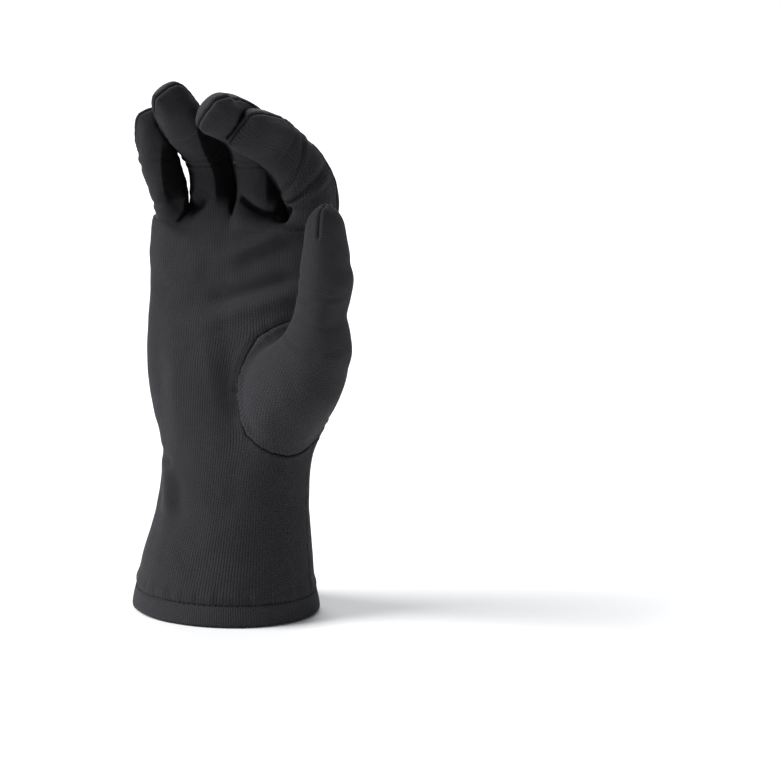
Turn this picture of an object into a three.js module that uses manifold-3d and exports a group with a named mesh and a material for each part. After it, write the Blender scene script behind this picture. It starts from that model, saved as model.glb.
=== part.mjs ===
// A knitted glove liner for a right hand, half curled and standing on its open cuff.
// Millimetres, +Z up along the fingers, the palm faces -Y and the thumb lies at +X.
// The origin is the middle of the wrist opening, in the plane of the cuff's lower edge.
import * as THREE from "three";
import { LoftGeometry } from "three/addons/geometries/LoftGeometry.js";
import { mergeVertices } from "three/addons/utils/BufferGeometryUtils.js";
import Module from "manifold-3d";

// Driving dimensions of the hand
const bodyLength = 178; // from the cuff's edge to the webs between the fingers
const cuffBreadth = 86; // across the open cuff
const cuffDepth = 72; // through the open cuff, palm to back
const wristBreadth = 69;
const wristDepth = 46;
const palmBreadth = 90; // across the four knuckles
const palmDepth = 30; // through the palm at the knuckles
const palmSquareness = 2.7; // exponent of the palm's section, 2 for an ellipse
const palmSetBack = 3; // how far the palm's middle lies behind the wrist's
const palmOffset = 8; // how far the palm's middle lies to the thumb's side

// Driving dimensions of the fingers, from the knuckle to the tip, and their breadths
const indexLength = 90;
const indexBreadth = 23.5;
const middleLength = 99;
const middleBreadth = 22;
const ringLength = 96;
const ringBreadth = 21.5;
const littleLength = 76;
const littleBreadth = 18;
const thumbLength = 113; // from the heel of its gusset to the tip
const thumbBreadth = 22.5;
const fingerFlatness = 0.94; // depth of a finger as a share of its breadth
const tipLength = 11; // the rounded end of each finger

// Driving dimensions of the cloth
const wall = 1.2; // knitted cloth
const hemDepth = 8; // the turned-up band round the cuff
const hemLayers = 2; // the band is cloth turned back on itself
const seamGap = 0.3; // between neighbouring pieces

// How fine the surfaces are
const bodySides = 36;
const bodyRows = 20;
const fingerSides = 16;
const fingerRows = 12;
const tipRows = 3;
const thumbSides = 24;

// Sections of the cuff and palm. at is a share of bodyLength. cuff, wrist and palm say how much of
// each named breadth and depth a section takes, thick is a share of the depth that this gives, and
// shift is the share of palmOffset by which its middle moves to the thumb's side.
const BODY_SECTIONS = [
  { at: 0.0, cuff: 1.0, wrist: 0.0, palm: 0.0, thick: 1.0, shift: 0.0 },
  { at: 0.07, cuff: 0.76, wrist: 0.24, palm: 0.0, thick: 1.0, shift: 0.03 },
  { at: 0.15, cuff: 0.5, wrist: 0.5, palm: 0.0, thick: 1.0, shift: 0.2 },
  { at: 0.25, cuff: 0.12, wrist: 0.88, palm: 0.0, thick: 1.0, shift: 0.45 },
  { at: 0.37, cuff: 0.0, wrist: 1.0, palm: 0.0, thick: 1.0, shift: 0.7 },
  { at: 0.45, cuff: 0.0, wrist: 0.72, palm: 0.28, thick: 1.0, shift: 0.85 },
  { at: 0.53, cuff: 0.0, wrist: 0.2, palm: 0.8, thick: 1.03, shift: 0.95 },
  { at: 0.62, cuff: 0.0, wrist: 0.0, palm: 1.0, thick: 1.06, shift: 1.0 },
  { at: 0.75, cuff: 0.0, wrist: 0.0, palm: 0.99, thick: 1.0, shift: 1.0 },
  { at: 0.87, cuff: 0.0, wrist: 0.0, palm: 0.97, thick: 0.97, shift: 1.0 },
  { at: 0.94, cuff: 0.0, wrist: 0.0, palm: 0.95, thick: 0.86, shift: 1.0 },
  { at: 1.0, cuff: 0.0, wrist: 0.0, palm: 0.9, thick: 0.38, shift: 1.0 },
];

// Dents and ridges of the cuff and palm: at is a share of bodyLength and turn a share of a full turn
// from the thumb's side by way of the back. deep is a share of palmDepth, inwards where positive,
// tall and wide are how far it spreads, and rise is how many turns it climbs along its own width.
const BODY_FOLDS = [
  { at: 0.79, turn: 0.84, deep: -0.035, tall: 0.03, wide: 0.09, rise: 0.35 },
  { at: 0.73, turn: 0.83, deep: 0.05, tall: 0.035, wide: 0.1, rise: 0.3 },
  { at: 0.64, turn: 0.72, deep: 0.05, tall: 0.12, wide: 0.06, rise: 0.0 },
  { at: 0.39, turn: 0.54, deep: 0.06, tall: 0.03, wide: 0.05, rise: 0.4 },
  { at: 0.33, turn: 0.6, deep: 0.04, tall: 0.1, wide: 0.03, rise: 0.0 },
  { at: 0.05, turn: 0.7, deep: 0.035, tall: 0.03, wide: 0.16, rise: 0.0 },
  { at: 0.9, turn: 0.7, deep: 0.06, tall: 0.05, wide: 0.05, rise: 0.0 },
];

// Fingers. across is a share of half the palm's breadth from its middle, up a share of bodyLength,
// back a share of palmDepth. bones are shares of the finger's length: the first runs up inside the
// palm to the knuckle. bend and lean are each bone's angles in degrees, forwards to the palm's side
// and sideways to the little finger.
const FINGERS = [
  {
    name: "index", length: indexLength, breadth: indexBreadth, across: 0.755, up: 0.845, back: 0.03,
    bones: [0.26, 0.465, 0.29, 0.245], bend: [7, 18, 30, 72], lean: [-3, -7, 28, 14],
  },
  {
    name: "middle", length: middleLength, breadth: middleBreadth, across: 0.235, up: 0.885, back: 0.1,
    bones: [0.26, 0.465, 0.3, 0.235], bend: [5, 10, 58, 76], lean: [0, 0, -2, 4],
  },
  {
    name: "ring", length: ringLength, breadth: ringBreadth, across: -0.27, up: 0.89, back: 0.07,
    bones: [0.26, 0.46, 0.29, 0.25], bend: [5, 9, 56, 54], lean: [1, 4, -3, -8],
  },
  {
    name: "little", length: littleLength, breadth: littleBreadth, across: -0.71, up: 0.85, back: 0.0,
    bones: [0.26, 0.455, 0.28, 0.265], bend: [7, 19, 20, 32], lean: [1, -2, 3, -6],
  },
];

// Breadth of a finger along its length, as shares of its own breadth, from inside the palm outwards.
const FINGER_TAPER = [
  { at: 0.0, broad: 0.78, deep: 0.78 },
  { at: 0.18, broad: 0.98, deep: 1.0 },
  { at: 0.4, broad: 1.0, deep: 1.0 },
  { at: 0.6, broad: 0.98, deep: 1.0 },
  { at: 0.78, broad: 0.92, deep: 0.95 },
  { at: 0.92, broad: 0.84, deep: 0.84 },
];

// The thumb and its gusset: the same columns as a finger. Its first bone comes forwards out of the
// palm, so that the gusset's seam is an oval on the palm's face.
const THUMB = {
  name: "thumb", length: thumbLength, breadth: thumbBreadth, across: 0.555, up: 0.472, back: -0.2,
  bones: [0.11, 0.15, 0.283, 0.283, 0.284], bend: [58, 40, 16, 13, 9], lean: [-8, -18, -29, -11, -6],
};
const THUMB_TAPER = [
  { at: 0.0, broad: 1.07, deep: 1.04 },
  { at: 0.1, broad: 1.52, deep: 1.36 },
  { at: 0.17, broad: 1.72, deep: 1.42 },
  { at: 0.25, broad: 1.82, deep: 1.44 },
  { at: 0.34, broad: 1.76, deep: 1.37 },
  { at: 0.42, broad: 1.56, deep: 1.27 },
  { at: 0.5, broad: 1.24, deep: 1.17 },
  { at: 0.6, broad: 1.05, deep: 1.06 },
  { at: 0.78, broad: 1.0, deep: 1.0 },
  { at: 0.92, broad: 0.84, deep: 0.84 },
];

// The colour and finish of the knit
const KNIT = { color: 0x34353a, roughness: 0.95, metalness: 0 };

const wasm = await Module();
wasm.setup();

// A value read from a table's column at a place along it, on a smooth curve through its rows.
function smoothColumn(table, column, at) {
  const last = table.length - 1;
  let i = table.findIndex((row) => row.at >= at);
  i = Math.min(Math.max(i < 0 ? last : i, 1), last);
  const [a, b] = [table[i - 1], table[i]];
  const before = table[Math.max(i - 2, 0)];
  const after = table[Math.min(i + 1, last)];
  const span = b.at - a.at;
  const t = THREE.MathUtils.clamp((at - a.at) / span, 0, 1);
  const slopeA = ((b[column] - before[column]) / (b.at - before.at)) * span;
  const slopeB = ((after[column] - a[column]) / (after.at - a.at)) * span;
  const rest = 1 - t;
  return (
    rest * rest * (1 + 2 * t) * a[column] +
    t * t * (3 - 2 * t) * b[column] +
    t * rest * rest * slopeA -
    t * t * rest * slopeB
  );
}

// A rounded coordinate of a squared ellipse: sign kept, power below one squares it.
const squared = (value, power) => Math.sign(value) * Math.abs(value) ** power;

// How far the cuff and palm are pushed in at a place on them.
function foldDepth(at, turn) {
  let depth = 0;
  for (const fold of BODY_FOLDS) {
    const round = turn - fold.turn - Math.round(turn - fold.turn);
    const climb = at - fold.at - round * fold.rise;
    depth += fold.deep * Math.exp(-((climb / fold.tall) ** 2) - (round / fold.wide) ** 2);
  }
  return depth * palmDepth;
}

// One section of the cuff and palm at a share of its length, drawn in by inset.
function bodyStation(at) {
  const take = (column) => smoothColumn(BODY_SECTIONS, column, at);
  const [cuff, wrist, palm] = ["cuff", "wrist", "palm"].map(take);
  const broad = cuff * cuffBreadth + wrist * wristBreadth + palm * palmBreadth;
  const deep = (cuff * cuffDepth + wrist * wristDepth + palm * palmDepth) * take("thick");
  const power = 2 / (2 + (palmSquareness - 2) * palm);
  const middle = new THREE.Vector3(palmOffset * take("shift"), palmSetBack * palm, at * bodyLength);
  return (turn, grow) => {
    const angle = turn * 2 * Math.PI;
    const push = grow - foldDepth(at, turn);
    return new THREE.Vector3(
      squared(Math.cos(angle), power) * (broad / 2 + push),
      squared(Math.sin(angle), power) * (deep / 2 + push),
      0,
    ).add(middle);
  };
}

// The joints of a finger, from the start of its cloth inside the palm to its tip.
function jointsOf(finger) {
  const root = new THREE.Vector3(
    palmOffset + (finger.across * palmBreadth) / 2,
    palmSetBack + finger.back * palmDepth,
    finger.up * bodyLength,
  );
  const steps = finger.bones.map((share, i) => {
    const bend = THREE.MathUtils.degToRad(finger.bend[i]);
    const lean = THREE.MathUtils.degToRad(finger.lean[i]);
    return new THREE.Vector3(
      -Math.sin(lean),
      -Math.cos(lean) * Math.sin(bend),
      Math.cos(lean) * Math.cos(bend),
    ).multiplyScalar(share * finger.length);
  });
  const joints = [root.clone().sub(steps[0])];
  for (const step of steps) joints.push(joints[joints.length - 1].clone().add(step));
  return joints;
}

// Sections of a finger: each gives a point of its outline at a turn, drawn in where grow is negative.
function fingerStations(finger, taper) {
  const path = new THREE.CatmullRomCurve3(jointsOf(finger), false, "centripetal");
  const total = path.getLength();
  const tipAt = 1 - tipLength / total;
  const places = [];
  for (let i = 0; i <= fingerRows; i++) {
    places.push({ at: (tipAt * i) / fingerRows, end: 1 });
  }
  for (let i = 1; i <= tipRows; i++) {
    const round = (i / tipRows) * 0.47 * Math.PI;
    places.push({ at: tipAt + (1 - tipAt) * Math.sin(round), end: Math.cos(round) ** 0.7 });
  }
  return places.map(({ at, end }) => {
    const middle = path.getPointAt(at);
    const along = path.getTangentAt(at);
    const side = new THREE.Vector3(1, 0, 0).addScaledVector(along, -along.x).normalize();
    const back = new THREE.Vector3().crossVectors(along, side);
    const broad = (finger.breadth / 2) * smoothColumn(taper, "broad", at);
    const deep = (finger.breadth / 2) * fingerFlatness * smoothColumn(taper, "deep", at);
    const onward = at === 0 ? -1 : 1 - end;
    return (turn, grow) => {
      const angle = turn * 2 * Math.PI;
      const push = grow * Math.max(end, 0.4);
      return middle
        .clone()
        .addScaledVector(along, grow * onward)
        .addScaledVector(side, Math.cos(angle) * Math.max(broad * end + push, 0.3))
        .addScaledVector(back, Math.sin(angle) * Math.max(deep * end + push, 0.3));
    };
  });
}

// A closed solid lofted through stations, whole or only the half on the palm's or the back's side.
// grow moves its surface outwards and lift moves the flat face of a half towards the back.
function loft(stations, sides, { half = "whole", grow = 0, lift = 0 } = {}) {
  const sections = stations.map((station) => {
    const points = [];
    if (half === "whole") {
      for (let i = 0; i < sides; i++) points.push(station(i / sides, grow));
      return points;
    }
    const first = half === "palm" ? 0.5 : 0;
    for (let i = 0; i <= sides / 2; i++) points.push(station(first + i / sides, grow));
    const back = station(0.25, 0).sub(station(0.75, 0)).normalize().multiplyScalar(lift);
    points[0].add(back);
    points[points.length - 1].add(back);
    return points;
  });
  return solidOf(new LoftGeometry(sections, { closed: true, capStart: true, capEnd: true }));
}

// A three.js geometry as a manifold-3d solid.
function solidOf(geometry) {
  const bare = new THREE.BufferGeometry();
  bare.setAttribute("position", geometry.getAttribute("position"));
  bare.setIndex(geometry.getIndex());
  const merged = mergeVertices(bare, 1e-4);
  return new wasm.Manifold(
    new wasm.Mesh({
      numProp: 3,
      vertProperties: merged.attributes.position.array,
      triVerts: new Uint32Array(merged.index.array),
    }),
  );
}

// The largest body of a solid: slivers that a cut leaves behind are dropped.
function mainBody(solid) {
  return solid.decompose().reduce((a, b) => (a.volume() > b.volume() ? a : b));
}

// A named mesh of a manifold-3d solid.
function meshOf(name, solid, finish) {
  const made = mainBody(solid).getMesh();
  const geometry = new THREE.BufferGeometry();
  geometry.setAttribute("position", new THREE.BufferAttribute(made.vertProperties, 3));
  geometry.setIndex(new THREE.BufferAttribute(made.triVerts, 1));
  geometry.computeVertexNormals();
  const mesh = new THREE.Mesh(geometry, new THREE.MeshStandardMaterial(finish));
  mesh.name = name;
  return mesh;
}

const join = (solids) => solids.reduce((a, b) => a.add(b));

// Rows of stations from one share of the body's length to another.
function bodyStations(from, to, rows) {
  const stations = [];
  for (let i = 0; i <= rows; i++) {
    stations.push(bodyStation(from + ((to - from) * i) / rows));
  }
  return stations;
}

const panelStart = (hemDepth + seamGap) / bodyLength;
const body = bodyStations(panelStart, 1, bodyRows);
const fingers = FINGERS.map((finger) => fingerStations(finger, FINGER_TAPER));
const thumb = fingerStations(THUMB, THUMB_TAPER);

// The hollow that the hand fills, open at the cuff
const below = wall / bodyLength;
const hollow = join([
  loft(bodyStations(-below, 1 - 2 * below, bodyRows), bodySides, { grow: -wall }),
  ...fingers.map((stations) => loft(stations, fingerSides, { grow: -wall })),
  loft(thumb, thumbSides, { grow: -wall }),
]);

// One side of the hand and its four fingers, as if solid
function handSide(half, grow, lift) {
  return join([
    loft(body, bodySides, { half, grow, lift }),
    ...fingers.map((stations) => loft(stations, fingerSides, { half, grow, lift })),
  ]);
}
const thumbHole = loft(thumb, thumbSides, { grow: seamGap });

function palmPanel() {
  return meshOf("palm_panel", handSide("palm", 0, 0).subtract(hollow).subtract(thumbHole), KNIT);
}

function backPanel() {
  const palmSide = handSide("palm", seamGap, seamGap);
  const solid = handSide("back", 0, 0).subtract(palmSide).subtract(hollow).subtract(thumbHole);
  return meshOf("back_panel", solid, KNIT);
}

function thumbPiece() {
  return meshOf("thumb_piece", loft(thumb, thumbSides).subtract(hollow), KNIT);
}

function cuffHem() {
  const top = hemDepth / bodyLength;
  const band = loft(bodyStations(0, top, 2), bodySides);
  const inside = bodyStations(-below, top + below, 2);
  return meshOf("cuff_hem", band.subtract(loft(inside, bodySides, { grow: -wall * hemLayers })), KNIT);
}

const glove = new THREE.Group();
glove.add(palmPanel(), backPanel(), thumbPiece(), cuffHem());

export default glove;
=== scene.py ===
"""A charcoal knitted glove liner for a right hand, half curled and standing on its open cuff.

Metres, +Z up along the fingers, the palm faces -Y and the thumb lies at +X. One smooth shell of
quads is grown ring by ring from the cuff to the fingertips, then parted along its seams into the
palm panel, the back panel and the set-in thumb. The cuff's hem is a band of its own.
"""

import math
from functools import lru_cache

import bmesh
import bpy
import numpy as np
from mathutils import Matrix, Vector, kdtree, noise
from mathutils.bvhtree import BVHTree


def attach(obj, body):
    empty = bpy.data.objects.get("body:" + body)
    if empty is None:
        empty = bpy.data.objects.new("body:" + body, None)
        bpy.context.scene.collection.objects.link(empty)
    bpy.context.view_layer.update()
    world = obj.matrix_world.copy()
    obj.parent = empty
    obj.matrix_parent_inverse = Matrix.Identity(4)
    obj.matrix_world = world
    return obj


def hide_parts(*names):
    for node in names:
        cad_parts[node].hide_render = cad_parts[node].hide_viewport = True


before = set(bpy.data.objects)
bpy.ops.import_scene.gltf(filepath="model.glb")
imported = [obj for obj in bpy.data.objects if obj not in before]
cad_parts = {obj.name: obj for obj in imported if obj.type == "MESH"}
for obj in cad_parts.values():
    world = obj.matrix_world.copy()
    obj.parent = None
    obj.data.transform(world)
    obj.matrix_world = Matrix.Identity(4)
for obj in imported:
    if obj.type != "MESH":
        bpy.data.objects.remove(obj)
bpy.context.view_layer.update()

MM = 0.001

# Sizes of the hand, in millimetres
BODY_LENGTH = 178.0
CUFF_BREADTH, CUFF_DEPTH = 86.0, 72.0
WRIST_BREADTH, WRIST_DEPTH = 69.0, 46.0
PALM_BREADTH, PALM_DEPTH = 90.0, 30.0
PALM_SQUARENESS = 2.7
PALM_SET_BACK = 3.0
PALM_OFFSET = 8.0
FINGER_SQUARENESS, THUMB_SQUARENESS = 2.4, 2.0
FINGER_FLATNESS = 0.94
BASE_FROM, BASE_TO = 0.48, 0.66
TIP_LENGTH = 10.0
TIP_CROWN = 0.16
EAR_REACH = 1.6

# Sizes of the cloth, in millimetres
WALL = 1.1
HEM_DEPTH = 8.0
WALE, COURSE = 1.15, 0.9
SEAM_LINE, SEAM_FAR = 0.42, 9

# The knit's finish: relief, noise, heights of its parts as shares, gloss, tone and colours
KNIT_RELIEF, THREAD_RELIEF = 0.34 * MM, 0.1 * MM
FUZZ_SCALE, CLOUD_SCALE, TWIST_SCALE = 2400, 45, 3500
LOOP_HEIGHT, FUZZ_HEIGHT, SEAM_HEIGHT = 0.55, 0.7, -3.5
LOOP_SLANT = 0.8
GLOSS, SHEEN, SHEEN_SOFTNESS = 0.16, 0.06, 0.45
SHEEN_TINT = (0.75, 0.78, 0.85, 1)
# Shares of the tone: broad clouds and fuzz are the yarn's own flecks; the loops' share is painted
# shade and highlight, darker in the dips between loops and lighter on their crests
CLOUD_SHARE, FUZZ_SHARE, LOOP_SHADE_SHARE = 0.25, 0.3, 0.36
# Painted shade along the seam lines, as a share of the painted shade colour, and how far painted
# shade dulls the sheen and gloss
SEAM_SHADE, SHADE_DULLING = 0.6, 0.85
CHARCOAL = ((0.030, 0.0292, 0.033), (0.0105, 0.0102, 0.012))
# The hem's charcoal is the knit's own charcoal painted lighter: painted light on the hem band
HEM_CHARCOAL_PAINTED_LIGHT = ((0.038, 0.0372, 0.042), (0.014, 0.0136, 0.016))
THREAD_BLACK = ((0.004, 0.004, 0.0045), (0.014, 0.014, 0.016))

# How fine the shell is, and the hem's stitches
BODY_SIDES = 32
BODY_ROWS = 18
FINGER_RINGS = 8
THUMB_RINGS = 11
THUMB_BLEND = 5
SMOOTH_LEVELS = 3
HEM_SIDES = 64
STITCHES = 96
STITCH_HEIGHT = 9.3

# Where the fingers part, and the rows and columns of the shell that the thumb takes
WEB_START = 0.972
WEB_RISE = 3.5
FINGER_FROM = 0.47
THUMB_FREE = 0.5
THUMB_FRONT = 20
THUMB_ROWS = (7, 13)
THUMB_COLUMNS = (26, 33)
OVAL_COLUMN, OVAL_LEFT, OVAL_RIGHT = 29.9, 5.0, 3.2
OVAL_HEIGHT, OVAL_HALF = 103.0, 29.5
NEAR_COLUMNS, NEAR_HEIGHT = 9, 26
EASE_ROUNDS, EASE_SHARE = 14, 0.7

# Steps of the knit's own coordinates, in millimetres
COLUMN_PITCH = 6.0
TIP_PITCH = 4
ROOT_RISE = 10.0
TIP_RISE = 0.42 * TIP_LENGTH
THUMB_PITCH, THUMB_RISE = 4, 8.0
THUMB_START = 40 * COLUMN_PITCH
CUFF_RADIUS = 40

# The camera's place round the liner, the size of a pixel there, and places in the frame
AZIMUTH, ELEVATION, DISTANCE = 22.0, 10.5, 1.2
PIXEL = 0.445 * MM
FRAME_MIDDLE, FRAME_SIDE = (390, 390.5), 781
HEM_MIDDLE = (226, 606)

# The even light from all round, then each broad light: where from, spread in degrees, strength
AMBIENT = 0.37
KEY_LIGHT = ((-0.95, -0.45, 0.82), 35, 5.0)
BACK_LIGHT = ((-0.45, 0.9, 0.5), 50, 2.6)

# The shell's panels and parts
PALM, BACK, THUMB = 0, 1, 2
PARTS = ["body", "index", "middle", "ring", "little", "thumb"]
ON_THUMB = PARTS.index("thumb")

# Sections of the cuff and palm: share of the length, shares of the cuff's, wrist's and palm's
# sizes, share of the depth, and share of the palm's offset
BODY_SECTIONS = (
    (0.00, 1.00, 0.00, 0.00, 1.00, 0.00),
    (0.07, 0.76, 0.24, 0.00, 1.00, 0.03),
    (0.15, 0.50, 0.50, 0.00, 1.00, 0.20),
    (0.25, 0.12, 0.88, 0.00, 1.00, 0.45),
    (0.37, 0.00, 1.00, 0.00, 1.00, 0.70),
    (0.45, 0.00, 0.72, 0.28, 1.00, 0.85),
    (0.53, 0.00, 0.20, 0.80, 1.03, 0.95),
    (0.62, 0.00, 0.00, 1.00, 1.06, 1.00),
    (0.75, 0.00, 0.00, 0.99, 1.00, 1.00),
    (0.87, 0.00, 0.00, 0.97, 0.97, 1.00),
    (0.94, 0.00, 0.00, 0.95, 0.91, 1.00),
    (1.00, 0.00, 0.00, 0.92, 0.78, 1.00),
)

# Fingers: length, breadth, place of the knuckle (share of half the palm's breadth, of the length
# and of the palm's depth), then the bones' shares of the length, bends and leans in degrees. The
# first bone runs up inside the palm.
FINGERS = {
    "index": (90.0, 23.5, 0.715, 0.845, 0.03,
              (0.26, 0.465, 0.29, 0.245), (7, 18, 30, 72), (-3, -7, 28, 14)),
    "middle": (99.0, 22.0, 0.235, 0.885, 0.10,
               (0.26, 0.465, 0.30, 0.235), (5, 10, 58, 78), (0, 0, -2, 6)),
    "ring": (96.0, 20.6, -0.23, 0.89, 0.07,
             (0.26, 0.46, 0.29, 0.25), (5, 9, 56, 54), (1, 4.5, 0.5, -4)),
    "little": (76.0, 17.2, -0.71, 0.85, 0.00,
               (0.26, 0.455, 0.28, 0.265), (7, 19, 20, 28), (1, -5, 6, -3)),
}
THUMB_SHAPE = (113.0, 22.5, 0.555, 0.472, -0.20,
               (0.11, 0.15, 0.283, 0.283, 0.284), (58, 40, 16, 13, 9), (-8, -18, -29, -13, -4))

# How far each finger's knit turns round it, in degrees, and between which shares of its length;
# then its palm side's breadth at the web and its closed end's breadth, as shares of its own
FINGER_KNIT = {
    "index": (50, 0.46, 0.80, 0.94, 0.84),
    "middle": (54, 0.50, 0.97, 0.92, 0.82),
    "ring": (54, 0.62, 0.99, 0.92, 0.66),
    "little": (46, 0.55, 0.97, 0.62, 0.62),
}
THUMB_KNIT = (0, 0.46, 0.80, 1.0, 0.62)

# Rings of a closed tip: share of its length, how far it has narrowed to the end's breadth,
# thickness across the seam, and how far its corners stand on
TIP_RINGS = (
    (0.40, 0.35, 0.88, 0.02),
    (0.80, 1.00, 0.56, 0.12),
)

# Breadth and depth along a finger and along the thumb, as shares of its own breadth
FINGER_TAPER = (
    (0.00, 0.78, 0.78),
    (0.18, 0.90, 0.96),
    (0.45, 0.94, 1.00),
    (0.60, 0.98, 1.00),
    (0.78, 0.93, 0.95),
    (0.92, 0.86, 0.86),
)
THUMB_TAPER = (
    (0.00, 1.07, 1.04),
    (0.10, 1.52, 1.36),
    (0.17, 1.72, 1.42),
    (0.25, 1.82, 1.44),
    (0.34, 1.76, 1.37),
    (0.42, 1.57, 1.27),
    (0.50, 1.30, 1.17),
    (0.60, 1.06, 1.06),
    (0.66, 0.98, 1.02),
    (0.74, 1.00, 1.00),
    (0.80, 0.96, 1.00),
    (0.86, 0.85, 0.97),
    (0.92, 0.72, 0.93),
)


def smooth_column(table, column, at):
    """A table's column at a place along it, on a smooth curve through its rows."""
    last = len(table) - 1
    i = next((k for k, row in enumerate(table) if row[0] >= at), last)
    i = min(max(i, 1), last)
    a, b = table[i - 1], table[i]
    before, after = table[max(i - 2, 0)], table[min(i + 1, last)]
    span = b[0] - a[0]
    t = min(max((at - a[0]) / span, 0.0), 1.0)
    slope_a = (b[column] - before[column]) / (b[0] - before[0]) * span
    slope_b = (after[column] - a[column]) / (after[0] - a[0]) * span
    rest = 1 - t
    ends = rest * rest * (1 + 2 * t) * a[column] + t * t * (3 - 2 * t) * b[column]
    return ends + t * rest * rest * slope_a - t * t * rest * slope_b


def cage_swell(sides):
    """How much larger a ring of the cage is than the smooth ring it gives."""
    return 3 / (2 + math.cos(2 * math.pi / sides))


def eased(value, low, high):
    """From 0 at low to 1 at high, with soft ends."""
    t = min(max((value - low) / (high - low), 0.0), 1.0)
    return t * t * (3 - 2 * t)


def squared(value, power):
    """A sine or cosine bent towards a square section."""
    return math.copysign(abs(value) ** power, value)


@lru_cache(maxsize=None)
def body_ring(at, grow=0.0, fine=48):
    """Half outlines of the cuff or palm at a share of the length, with their running lengths."""
    cuff, wrist, palm, thick, shift = (smooth_column(BODY_SECTIONS, c, at) for c in range(1, 6))
    broad = cuff * CUFF_BREADTH + wrist * WRIST_BREADTH + palm * PALM_BREADTH
    deep = (cuff * CUFF_DEPTH + wrist * WRIST_DEPTH + palm * PALM_DEPTH) * thick
    power = 2 / (2 + (PALM_SQUARENESS - 2) * palm)
    middle = Vector((PALM_OFFSET * shift, PALM_SET_BACK * palm, at * BODY_LENGTH))
    halves = []
    for start in (0, math.pi):
        points = []
        for i in range(fine + 1):
            angle = start + math.pi * i / fine
            across = squared(math.cos(angle), power) * (broad / 2 + grow)
            away = squared(math.sin(angle), power) * (deep / 2 + grow)
            points.append(middle + Vector((across, away, 0)))
        lengths = [0.0]
        for a, b in zip(points, points[1:]):
            lengths.append(lengths[-1] + (b - a).length)
        halves.append((points, lengths))
    return middle, halves


def body_place(column, at, grow=0.0, sides=BODY_SIDES):
    """The point of the cuff or palm at a column of its knit, evenly spaced from seam to seam."""
    _, halves = body_ring(round(at, 5), grow)
    half = sides / 2
    column %= sides
    points, lengths = halves[0] if column < half else halves[1]
    target = (column % half) / half * lengths[-1]
    k = min(max(int(np.searchsorted(lengths, target, side="right")) - 1, 0), len(points) - 2)
    t = (target - lengths[k]) / (lengths[k + 1] - lengths[k])
    return points[k].lerp(points[k + 1], t)


def body_cage(column, at):
    """The cage's point for a place of the cuff or palm."""
    middle, _ = body_ring(round(at, 5))
    return middle + (body_place(column, at) - middle) * cage_swell(BODY_SIDES)


def joints_of(shape):
    """The joints of a finger, from the start of its cloth inside the palm to its tip."""
    length, _, across, up, back, bones, bends, leans = shape
    x = PALM_OFFSET + across * PALM_BREADTH / 2
    y = PALM_SET_BACK + back * PALM_DEPTH
    root = Vector((x, y, up * BODY_LENGTH))
    steps = []
    for share, bend, lean in zip(bones, map(math.radians, bends), map(math.radians, leans)):
        across = -math.sin(lean)
        forward = -math.cos(lean) * math.sin(bend)
        onward = math.cos(lean) * math.cos(bend)
        steps.append(Vector((across, forward, onward)) * share * length)
    joints = [root - steps[0]]
    for step in steps:
        joints.append(joints[-1] + step)
    return joints


def between(a, b, low, high, t):
    """The place at t on the way from a, at low, to b, at high."""
    return (high - t) / (high - low) * a + (t - low) / (high - low) * b


def curve_through(points, fine=24):
    """A centripetal curve through the points, as an array."""
    pts = [np.array(p) for p in points]
    pts = [2 * pts[0] - pts[1]] + pts + [2 * pts[-1] - pts[-2]]
    out = []
    for p0, p1, p2, p3 in zip(pts, pts[1:], pts[2:], pts[3:]):
        k = [0.0]
        for a, b in ((p0, p1), (p1, p2), (p2, p3)):
            k.append(k[-1] + math.sqrt(np.linalg.norm(b - a)))
        for t in np.linspace(k[1], k[2], fine, endpoint=False):
            a1 = between(p0, p1, k[0], k[1], t)
            a2 = between(p1, p2, k[1], k[2], t)
            a3 = between(p2, p3, k[2], k[3], t)
            b1 = between(a1, a2, k[0], k[2], t)
            b2 = between(a2, a3, k[1], k[3], t)
            out.append(between(b1, b2, k[1], k[2], t))
    out.append(pts[-2])
    return np.array(out)


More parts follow.
